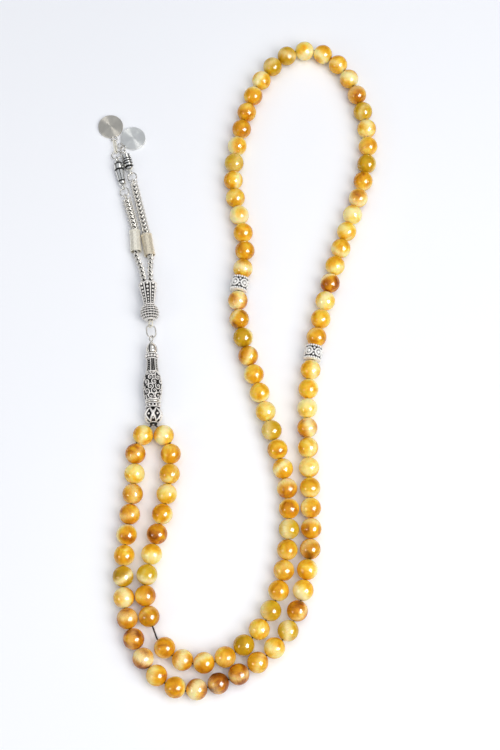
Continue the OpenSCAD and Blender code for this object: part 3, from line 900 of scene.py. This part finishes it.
def make_tower():
    """The bulb under scrolls of wire, the neck under twisted wires, and a collar of granules."""
    shape = Shape()
    up = TOWER @ raised(TOWER_BASE)
    skin = [(r - GROUND, z) for r, z in BULB]
    inner = [(r - 0.8, z) for r, z in BULB if 1 < z < 12.6]
    outline = [(PIN_BORE_R, 0.02), *skin, (PIN_BORE_R, 20), (PIN_BORE_R, 13.4)]
    outline += [*inner[::-1], (PIN_BORE_R, 1.2)]
    lathe(shape, outline, up, 56, closed=True, mat=1)
    draw = random.Random(5)
    scrolls = 7  # in each row
    for row in range(6):
        for k in range(scrolls):
            a = TURN * (k + 0.5 * (row % 2)) / scrolls
            way = 1 if (k + row) % 2 else -1
            start = draw.uniform(-110, -20)
            scroll(shape, up, a, 1.4 + 1.95 * row, 1.5 - 0.06 * row, way, start)
    for z, wire in ((0.25, 0.25), (12.1, 0.2), (17.75, 0.24), (19.75, 0.22)):
        ring(shape, radius_at(BULB, z) - wire, wire, up @ raised(z))
    columns = 7
    twists = 6
    for k in range(columns):
        a = TURN * k / columns
        for ply in (0, math.pi):
            points = []
            steps = 44
            for j in range(steps + 1):
                t = j / steps
                z = 11.2 + 6.4 * t
                b = ply + TURN * twists * t
                out = -0.14 + 0.15 * math.cos(b)
                points.append(on_surface(BULB, a + 0.2 * math.sin(b) / radius_at(BULB, z), z, out))
            tube(shape, points, 0.115, up, sides=6)
        for j in range(6):
            spot = on_surface(BULB, a + math.pi / columns, 12.9 + 0.85 * j, -0.34)
            granule(shape, spot, 0.16, up, sides=8)
    for k in range(BAND_GRANULES):
        granule(shape, on_surface(BULB, TURN * k / BAND_GRANULES, 18.75, -0.1), 0.55, up)
    piece("imame_tower_scrolls", shape, [OXIDISED, DARK], "imame", ["imame_tower"])


def make_knob():
    """A smooth fluted knob, with a small collar that the pin comes out of. Each flute's floor is painted
    dark as shade.
    """
    shape = Shape()
    low = 29.85
    height = 4.5
    skin = rounded([(1.6, 0), (2.15, 0.7), (2.32, 1.7), (2.15, 2.9), (1.5, 4.0), (0.85, 4.45)], 5)
    outline = [(PIN_BORE_R, 0), *skin, (PIN_BORE_R, height)]
    flutes = 4
    phase = math.radians(70)

    def depth(a):
        return math.cos(flutes * (a - phase))

    def groove(a, i):
        return 1 - 0.12 * max(0, depth(a)) ** 24 if 0 < i < len(outline) - 1 else 1

    # Painted shade: the dark material on the floor of each flute.
    def painted_shade(i, s):
        return 1 if depth(TURN * s) > 0.9 and 1 < i < len(outline) - 2 else 0

    lathe(shape, outline, TOWER @ raised(low), 96, closed=True, mat=painted_shade, swell=groove)
    ring(shape, 0.62, 0.2, TOWER @ raised(low + height + 0.1))
    piece("imame_knob_fluted", shape, [POLISHED, DARK], "imame", ["imame_knob"], 35)


def upright_ring(z, turn):
    """The place of a ring that stands along the axis of its piece."""
    return raised(z) @ turned(turn, "Z") @ turned(90, "X")


def make_pin():
    """The wire through the tower, with an eye at each end."""
    shape = Shape()
    inner_z = FOOT_CENTRE + INNER_EYE_R
    heights = (inner_z + INNER_EYE_R, 20, TOWER_EYE_Z - TOWER_EYE_R)
    tube(shape, [(0, 0, z) for z in heights], PIN_R, TOWER, 16)
    ring(shape, INNER_EYE_R, WIRE_R, TOWER @ upright_ring(inner_z, 0))
    ring(shape, TOWER_EYE_R, WIRE_R, TOWER @ upright_ring(TOWER_EYE_Z, EYE_TURN))
    piece("imame_pin_wire", shape, [BRIGHT], "imame", ["imame_pin"])


make_foot()
make_tower_ring()
make_tower()
make_knob()
make_pin()


# ---- Jump ring and cap ----

def make_wire_ring(node, place, r, material, wire=THIN_WIRE, straight=0.0):
    """A ring of bent wire, with a slit where it closes."""
    shape = Shape()
    ring(shape, r, wire, place, gap=0.08, straight=straight)
    piece(f"{node}_wire", shape, [material], node, [node])


def make_cap_pin():
    """The wire through the cap: its outer eye hangs in the jump ring, and its inner eye holds the chains."""
    shape = Shape()
    inner_z = 13
    heights = (CAP_EYE_R, 6, inner_z - INNER_EYE_R)
    ring(shape, CAP_EYE_R, WIRE_R, CAP @ upright_ring(0, EYE_TURN))
    tube(shape, [(0, 0, z) for z in heights], PIN_R, CAP, 16)
    ring(shape, INNER_EYE_R, WIRE_R, CAP @ upright_ring(inner_z, 0))
    piece("cap_pin_wire", shape, [CHAMPAGNE], "cap", ["cap_pin"])


def make_dome():
    """A bowl of basket work: wires round it that pass over and under upright ones."""
    shape = Shape()
    up = CAP @ raised(1.9)
    skin = rounded([
        (1.1, -0.02), (2.3, 0.15), (3.15, 0.8), (3.65, 1.9), (3.75, 3.1), (3.5, 4.5), (2.85, 5.7),
        (2.15, 6.4),
    ])
    core = [(r - 0.3, z) for r, z in skin]
    inner = [(r - 0.8, z) for r, z in skin if z > 0.7]
    lathe(shape, [(PIN_BORE_R, 0), *core, *inner[::-1], (PIN_BORE_R, 0.7)], up, closed=True, mat=1)
    ribs = 18
    rows = 6
    first = 0.9
    pitch = 1.03
    for row in range(rows):
        z = first + pitch * row
        points = []
        steps = ribs * 4
        for k in range(steps):
            a = TURN * k / steps
            points.append(on_surface(skin, a, z, -0.1 + 0.12 * math.cos(ribs / 2 * a + math.pi * row)))
        tube(shape, points, 0.21, up, 8, closed=True)
    ring(shape, 1.45, 0.28, up @ raised(0.05))
    ring(shape, 2.05, 0.26, up @ raised(0.12))
    for k in range(ribs):
        a = TURN * k / ribs
        steps = 28
        points = []
        for j in range(steps + 1):
            z = 0.1 + 6.1 * j / steps
            wave = math.cos(ribs / 2 * a + math.pi * (z - first) / pitch)
            points.append(on_surface(skin, a, z, -0.18 - 0.12 * wave))
        tube(shape, points, 0.12, up, 6)
    piece("cap_dome_basket", shape, [OXIDISED, DARK], "cap", ["cap_dome"])


def make_crown():
    """A tulip of bright ribs that meet in arches, with a column of granules in each dark channel."""
    shape = Shape()
    up = CAP @ raised(CROWN_Z[0])
    height = CROWN_Z[1] - CROWN_Z[0]
    skin = rounded([(2.0, 0), (2.0, 1.2), (2.3, 3.2), (2.75, 5.6), (3.2, 8.2), (3.45, height - 0.5)])
    inner = [(r - 0.5, z) for r, z in skin if z > 1]
    lathe(shape, [(PIN_BORE_R, 0), *skin, *inner[::-1], (PIN_BORE_R, 1)], up, closed=True, mat=1)
    ribs = 8
    for k in range(ribs):
        a = TURN * (k + 0.44) / ribs
        steps = 20
        top = height - 1.0
        points = [on_surface(skin, a, 0.5 + (top - 0.5) * j / steps, 0.12) for j in range(steps + 1)]
        radii = [0.2 + 0.08 * j / steps for j in range(steps + 1)]
        tube(shape, points, radii, up, 10)
        points = []
        for j in range(13):
            t = j / 12
            z = top + 0.66 * math.sin(math.pi * t)
            points.append(on_surface(skin, a + TURN * t / ribs, z, 0.12))
        tube(shape, points, 0.28, up, 10)
        for g in range(7):
            z = 1.55 + 0.94 * g + 0.06 * g * g
            r = 0.3 + 0.055 * g
            granule(shape, on_surface(skin, a + math.pi / ribs, z, -0.08), r, up)
    for z in (0.15, 0.75):
        ring(shape, 2.08, 0.24, up @ raised(z))
    piece("cap_crown_tulip", shape, [OXIDISED, DARK], "cap", ["cap_crown"])


jump_place = lay(jump_middle, (TOWER_LEAN + CAP_LEAN) / 2, AXIS_Z) @ turned(25, "Y")
make_wire_ring("jump_ring", jump_place, JUMP_R, BRIGHT, WIRE_R, JUMP_HALF - JUMP_R)
make_cap_pin()
make_dome()
make_crown()


# ---- Chains and ferrules ----

def lifted(p, z):
    return Vector((p.x, p.y, z))


def lower_line(side, ferrule):
    """The lower chain's line: from inside the crown to a point inside its ferrule."""
    place, lean = ferrule
    angle = math.radians(CAP_LEAN)
    out = side * Vector((math.cos(angle), math.sin(angle)))
    root = beyond(crown_mouth, CAP_LEAN, -3.4) + 1.1 * out
    mouth = beyond(crown_mouth, CAP_LEAN, 0) + 1.2 * out
    low = beyond(place, lean, -FERRULE_LENGTH / 2)
    mid = (beyond(crown_mouth, CAP_LEAN, 3) + beyond(low, lean, -3)) / 2 + 0.4 * out
    return [
        lifted(root, AXIS_Z), lifted(mouth, AXIS_Z - 0.05), lifted((mouth + mid) / 2, AXIS_Z - 0.3),
        lifted(mid, AXIS_Z - 0.9), lifted(beyond(low, lean, -2), STRAND_Z + 0.2), lifted(low, STRAND_Z),
        lifted(place, STRAND_Z), lifted(beyond(place, lean, FERRULE_LENGTH / 2 - 1.9), STRAND_Z),
    ]


def upper_line(ferrule, eye):
    """The upper chain's line: from inside its ferrule to its eye."""
    place, lean = ferrule
    low = beyond(place, lean, FERRULE_LENGTH / 2 - 1.2)
    out = beyond(place, lean, FERRULE_LENGTH / 2 + 1.5)
    end = eye - (eye - out).normalized() * CHAIN_EYE_R
    return [lifted(p, STRAND_Z) for p in (low, out, out * 0.6 + end * 0.4, end)]


def foxtail(shape, line, width, roll, pitch):
    """A chain of bent loops, each through the last and turned by a quarter, over a core painted dark as
    shade.

    width gives half the chain's width at a distance along it.
    """
    steps = 16
    path = filled(smooth(line, 10), 0.1)
    pairs = across(path, False)
    gone = 0.0
    next_link = 0.0
    number = 0
    for i in range(len(path) - 1):
        if gone >= next_link:
            way = (path[i + 1] - path[i]).normalized()
            u, v = pairs[i]
            turn = math.radians(roll + 90 * (number % 2))
            wide = u * math.cos(turn) + v * math.sin(turn)
            deep = way.cross(wide)
            half = width(gone)
            wire = 0.13 * half
            points = []
            for k in range(steps):
                a = TURN * k / steps
                lift = 1.7 * math.cos(a) ** 2 - 0.7
                over = wide * (half - wire) * math.cos(a) + deep * 0.5 * half * math.sin(a)
                points.append(path[i] + over + way * lift)
            tube(shape, points, wire, sides=6, closed=True)
            next_link += pitch
            number += 1
        gone += (path[i + 1] - path[i]).length
    # Painted shade: a dark core fills the chain's middle, where only shade shows between the loops.
    tube(shape, path[::4], 0.45 * width(0), sides=8, mat=1)


def make_lower_chain(name, side, ferrule):
    """The chain below the ferrule. side is -1 for the left one and 1 for the right one."""
    shape = Shape()
    foxtail(shape, lower_line(side, ferrule), lambda d: min(1.35, 1.1 + 0.1 * d), 35, 1.0)
    piece(f"{name}_links", shape, [CHAIN, DARK], f"{name[6:-6]}_lower_strand", [name])


def make_upper_chain(name, ferrule, eye, lean, half, roll):
    """The chain above the ferrule, with the wire eye that it ends in."""
    shape = Shape()
    foxtail(shape, upper_line(ferrule, eye), lambda d: min(half, 1.3 + 0.3 * d), roll, 0.95)
    ring(shape, CHAIN_EYE_R, WIRE_R, lay(eye, lean, STRAND_Z) @ turned(70, "Y"))
    piece(f"{name}_links", shape, [CHAIN, DARK], f"{name[6:-6]}_upper_strand", [name])


def make_ferrule(name, ferrule, body, material):
    """A faceted tube with rolled ends, pinched on the chain at its middle."""
    shape = Shape()
    half = FERRULE_LENGTH / 2
    lip = 0.2
    facets = 10
    dip = [(lip, half), (0, half - lip), (0, half - 0.8), (0.12, half - 1), (0.04, 2), (0.16, 0.8)]
    outer = [(FERRULE_R - d, -z) for d, z in dip] + [(FERRULE_R - d, z) for d, z in reversed(dip)]
    bore = [(1.8, half - 0.1), (1.8, 1.2), (1.5, 0.9)]
    inner = bore + [(r, -z) for r, z in reversed(bore)]

    def flat(a, i):
        return faceted(a, facets) if 3 <= i <= 8 else 1

    place = lay_turned(ferrule[0], ferrule[1], STRAND_Z) @ Matrix.Diagonal((1.1, 1, 1, 1))
    lathe(shape, outer + inner, place, 80, closed=True, swell=flat)
    piece(f"{name}_tube", shape, [material], body, [name], 12)


make_lower_chain("chain_left_lower", -1, FERRULE_LEFT)
make_lower_chain("chain_right_lower", 1, FERRULE_RIGHT)
make_upper_chain("chain_left_upper", FERRULE_LEFT, LEFT_EYE, 17, 2.1, 25)
make_upper_chain("chain_right_upper", FERRULE_RIGHT, RIGHT_EYE, 16, 1.85, 10)
make_ferrule("ferrule_left", FERRULE_LEFT, "left_lower_strand", CHAMPAGNE)
make_ferrule("ferrule_right", FERRULE_RIGHT, "right_lower_strand", GOLDEN_IN_PAINTED_SHADE)


# ---- Rings, end caps and coins ----

def make_end_cap(node, p, lean, span, long_taper):
    """A turned bullet: an eye at each end, a barrel, grooves painted dark as shade, and a faceted taper.

    parts holds the outline, as parts of END_CAP_R and of the body's length. dark and cut number its points
    where a groove and a facet start.
    """
    shape = Shape()
    place = lay_turned(p, lean, STRAND_Z)
    body = span - 2 * SMALL_EYE_R
    facets = 8
    if long_taper:
        parts = [
            (0.4, 0), (0.5, 0.01), (0.74, 0.05), (0.76, 0.13), (0.6, 0.145), (0.6, 0.185),
            (0.72, 0.2), (0.86, 0.42), (0.97, 0.59), (0.78, 0.605), (0.78, 0.64),
            (0.99, 0.655), (1.0, 0.74), (0.96, 0.83), (0.74, 0.845), (0.74, 0.87),
            (0.8, 0.89), (0.62, 0.965), (0.4, 1.0),
        ]
        dark = (4, 5, 9, 10, 14, 15)
        cut = (6, 7, 8)
    else:
        parts = [
            (0.4, 0), (0.55, 0.02), (0.8, 0.08), (0.84, 0.14), (0.6, 0.16), (0.6, 0.24),
            (0.92, 0.26), (0.95, 0.35), (0.79, 0.36), (0.79, 0.41),
            (0.96, 0.42), (0.97, 0.49), (0.8, 0.5), (0.8, 0.55),
            (0.98, 0.56), (0.98, 0.63), (0.8, 0.64), (0.8, 0.69),
            (0.97, 0.7), (0.93, 0.92), (0.62, 0.98), (0.4, 1.0),
        ]
        dark = (4, 5, 8, 9, 12, 13, 16, 17)
        cut = (18,)

    def flat(a, i):
        return faceted(a, facets) if i - 1 in cut else 1

    # Painted shade on the groove floors, and painted dark reflections along the facet edges.
    def painted_shade(i, s):
        edge = abs(s * facets % 1 - 0.5) > 0.42
        return 1 if i - 1 in dark or (edge and i - 1 in cut) else 0

    outline = [(0, SMALL_EYE_R - 0.05)]
    outline += [(END_CAP_R * wide, SMALL_EYE_R + body * up) for wide, up in parts]
    outline += [(0, span - SMALL_EYE_R + 0.05)]
    lathe(shape, outline, place, 72, mat=painted_shade, swell=flat)
    for z in (0, span):
        ring(shape, SMALL_EYE_R, WIRE_R, place @ upright_ring(z, 70))
    piece(f"{node}_turned", shape, [ANTIQUE, DARK], node, [node], 25)


def make_coin(node, lug, lean, material):
    """A thick coin with turned rings on both faces, and the lug that it hangs by."""
    place = lay(lug, lean, 0) @ Matrix.Translation((0, COIN_R + LUG_R - THIN_WIRE / 2, 0))
    shape = Shape()
    edge = 0.2
    grooves = 17
    step = (COIN_R - 0.45) / grooves
    depth = 0.05
    face = []
    for k in range(4 * grooves, 0, -1):
        face.append((k * step / 4, COIN_T - depth * (1 - math.cos(TURN * k / 4)) / 2))
    back = [(r, COIN_T - z) for r, z in reversed(face)]
    rim = arc(COIN_R - edge, edge, edge, -90, 0, 4) + arc(COIN_R - edge, COIN_T - edge, edge, 0, 90, 4)
    lathe(shape, [(0, 0), *back, *rim, *face, (0, COIN_T)], place, 96)
    piece(f"{node}_disc", shape, [material], node, [node], 70)
    loop = Shape()
    ring(loop, LUG_R, THIN_WIRE, lay(lug, lean, COIN_T - THIN_WIRE))
    piece(f"{node}_lug", loop, [BRIGHT], node, [node])


end_ring_tip = turned(-15, "Y")
link_tip = turned(-LINK_SLOPE, "X")
make_wire_ring("end_ring_left", lay(left_ring, 15, STRAND_Z) @ end_ring_tip, END_RING_R, BRIGHT, WIRE_R)
make_wire_ring("end_ring_right", lay(right_ring, 16, STRAND_Z) @ end_ring_tip, END_RING_R, BRIGHT, WIRE_R)
make_end_cap("end_cap_left", left_cap, LEFT_CAP_LEAN, LEFT_CAP_SPAN, long_taper=True)
make_end_cap("end_cap_right", right_cap, RIGHT_CAP_LEAN, RIGHT_CAP_SPAN, long_taper=False)
make_wire_ring("link_left_lower", lay(left_link, 10, 1.6) @ link_tip @ turned(-12, "Y"), LEFT_LINK_R, BRIGHT)
make_wire_ring(
    "link_left_upper", lay(left_oval, 8, 1.2) @ turned(62, "Y"), LEFT_OVAL_R, CHAMPAGNE,
    WIRE_R, LEFT_OVAL_HALF - LEFT_OVAL_R,
)
make_wire_ring("link_right", lay(right_link, 27, 1.65) @ link_tip @ turned(-56, "Y"), RIGHT_LINK_R, BRIGHT)
make_coin("coin_left", left_lug, LEFT_COIN_LEAN, COIN_PAINTED_SHADED)
make_coin("coin_right", right_lug, RIGHT_COIN_LEAN, COIN_PAINTED_LIT)


# ---- Floor and light ----

def make_floor():
    """A white table top."""
    material, tree, shader = new_material("table_white")
    cloud = noise(tree, object_place(tree), 3.0, 2.0)
    colour = ramp(tree, cloud, ((0.3, (0.9, 0.91, 0.94)), (0.7, (0.93, 0.935, 0.96))))
    fill(tree, shader, Base_Color=colour, Roughness=0.6)
    mesh = bpy.data.meshes.new("table_top")
    far = 12.0
    corners = [(-far, -far, 0), (far, -far, 0), (far, far, 0), (-far, far, 0)]
    mesh.from_pydata(corners, [], [(0, 1, 2, 3)])
    mesh.materials.append(material)
    floor = bpy.data.objects.new("table_top", mesh)
    bpy.context.scene.collection.objects.link(floor)


def make_lamp(name, way, distance, size, power, shines=True, only=None):
    """A square soft lamp that faces the beads.

    shines says whether it is reflected. With only, it is nothing but a reflection on that group of pieces.
    """
    data = bpy.data.lights.new(name, "AREA")
    data.shape = "SQUARE"
    data.size = size
    data.energy = power
    data.color = (1, 0.99, 0.965)
    lamp = bpy.data.objects.new(name, data)
    lamp.visible_glossy = shines
    if only:
        lamp.visible_diffuse = False
        lamp.light_linking.receiver_collection = only
    way = Vector(way).normalized()
    lamp.location = way * distance
    lamp.rotation_euler = way.to_track_quat("Z", "Y").to_euler()
    bpy.context.scene.collection.objects.link(lamp)


def things_of(name, *materials):
    """The pieces made of any of the materials, as a group that a lamp can be kept to."""
    group = bpy.data.collections.new(name)
    for thing in bpy.context.scene.objects:
        if thing.type == "MESH" and any(m.name in thing.data.materials for m in materials):
            group.objects.link(thing)
    return group


def make_sky():
    """Pale overhead and dark towards the horizon, so that metal has something dark to reflect."""
    world = bpy.data.worlds.new("studio")
    world.use_nodes = True
    tree = world.node_tree
    way = put(tree, "ShaderNodeTexCoord").outputs["Generated"]
    height = put(tree, "ShaderNodeSeparateXYZ", Vector=way).outputs["Z"]
    colour = ramp(tree, height, (
        (0.0, (0.02, 0.02, 0.025)),
        (0.35, (0.08, 0.08, 0.09)),
        (0.6, (0.4, 0.42, 0.46)),
        (1.0, (0.47, 0.5, 0.56)),
    ))
    fill(tree, tree.nodes["Background"], Color=colour, Strength=1.0)
    bpy.context.scene.world = world


make_floor()
KEY_WAY = (0.57, -0.36, 0.73)
SIDE_WAY = (-0.8, -0.42, 0.5)
CEILING_WAY = (0.3, 0.55, 0.78)
stones = things_of("polished_stones", STONE)
fittings = things_of("silver_fittings", OXIDISED, RUBBED, POLISHED, ANTIQUE, BRIGHT)
make_lamp("softbox", KEY_WAY, 0.9, 0.6, 4.0)
make_lamp("softbox_glint", KEY_WAY, 0.8, 0.45, 24, only=stones)
make_lamp("side", SIDE_WAY, 0.9, 0.3, 0.8)
make_lamp("side_glint", SIDE_WAY, 0.8, 0.16, 1.2, only=stones)
make_lamp("ceiling_glint", CEILING_WAY, 0.8, 0.3, 0.6, only=fittings)
make_lamp("bounce", (0.1, 0.04, 0.9), 0.9, 0.8, 3.5, shines=False)
make_sky()
bpy.context.scene.view_settings.view_transform = "Standard"
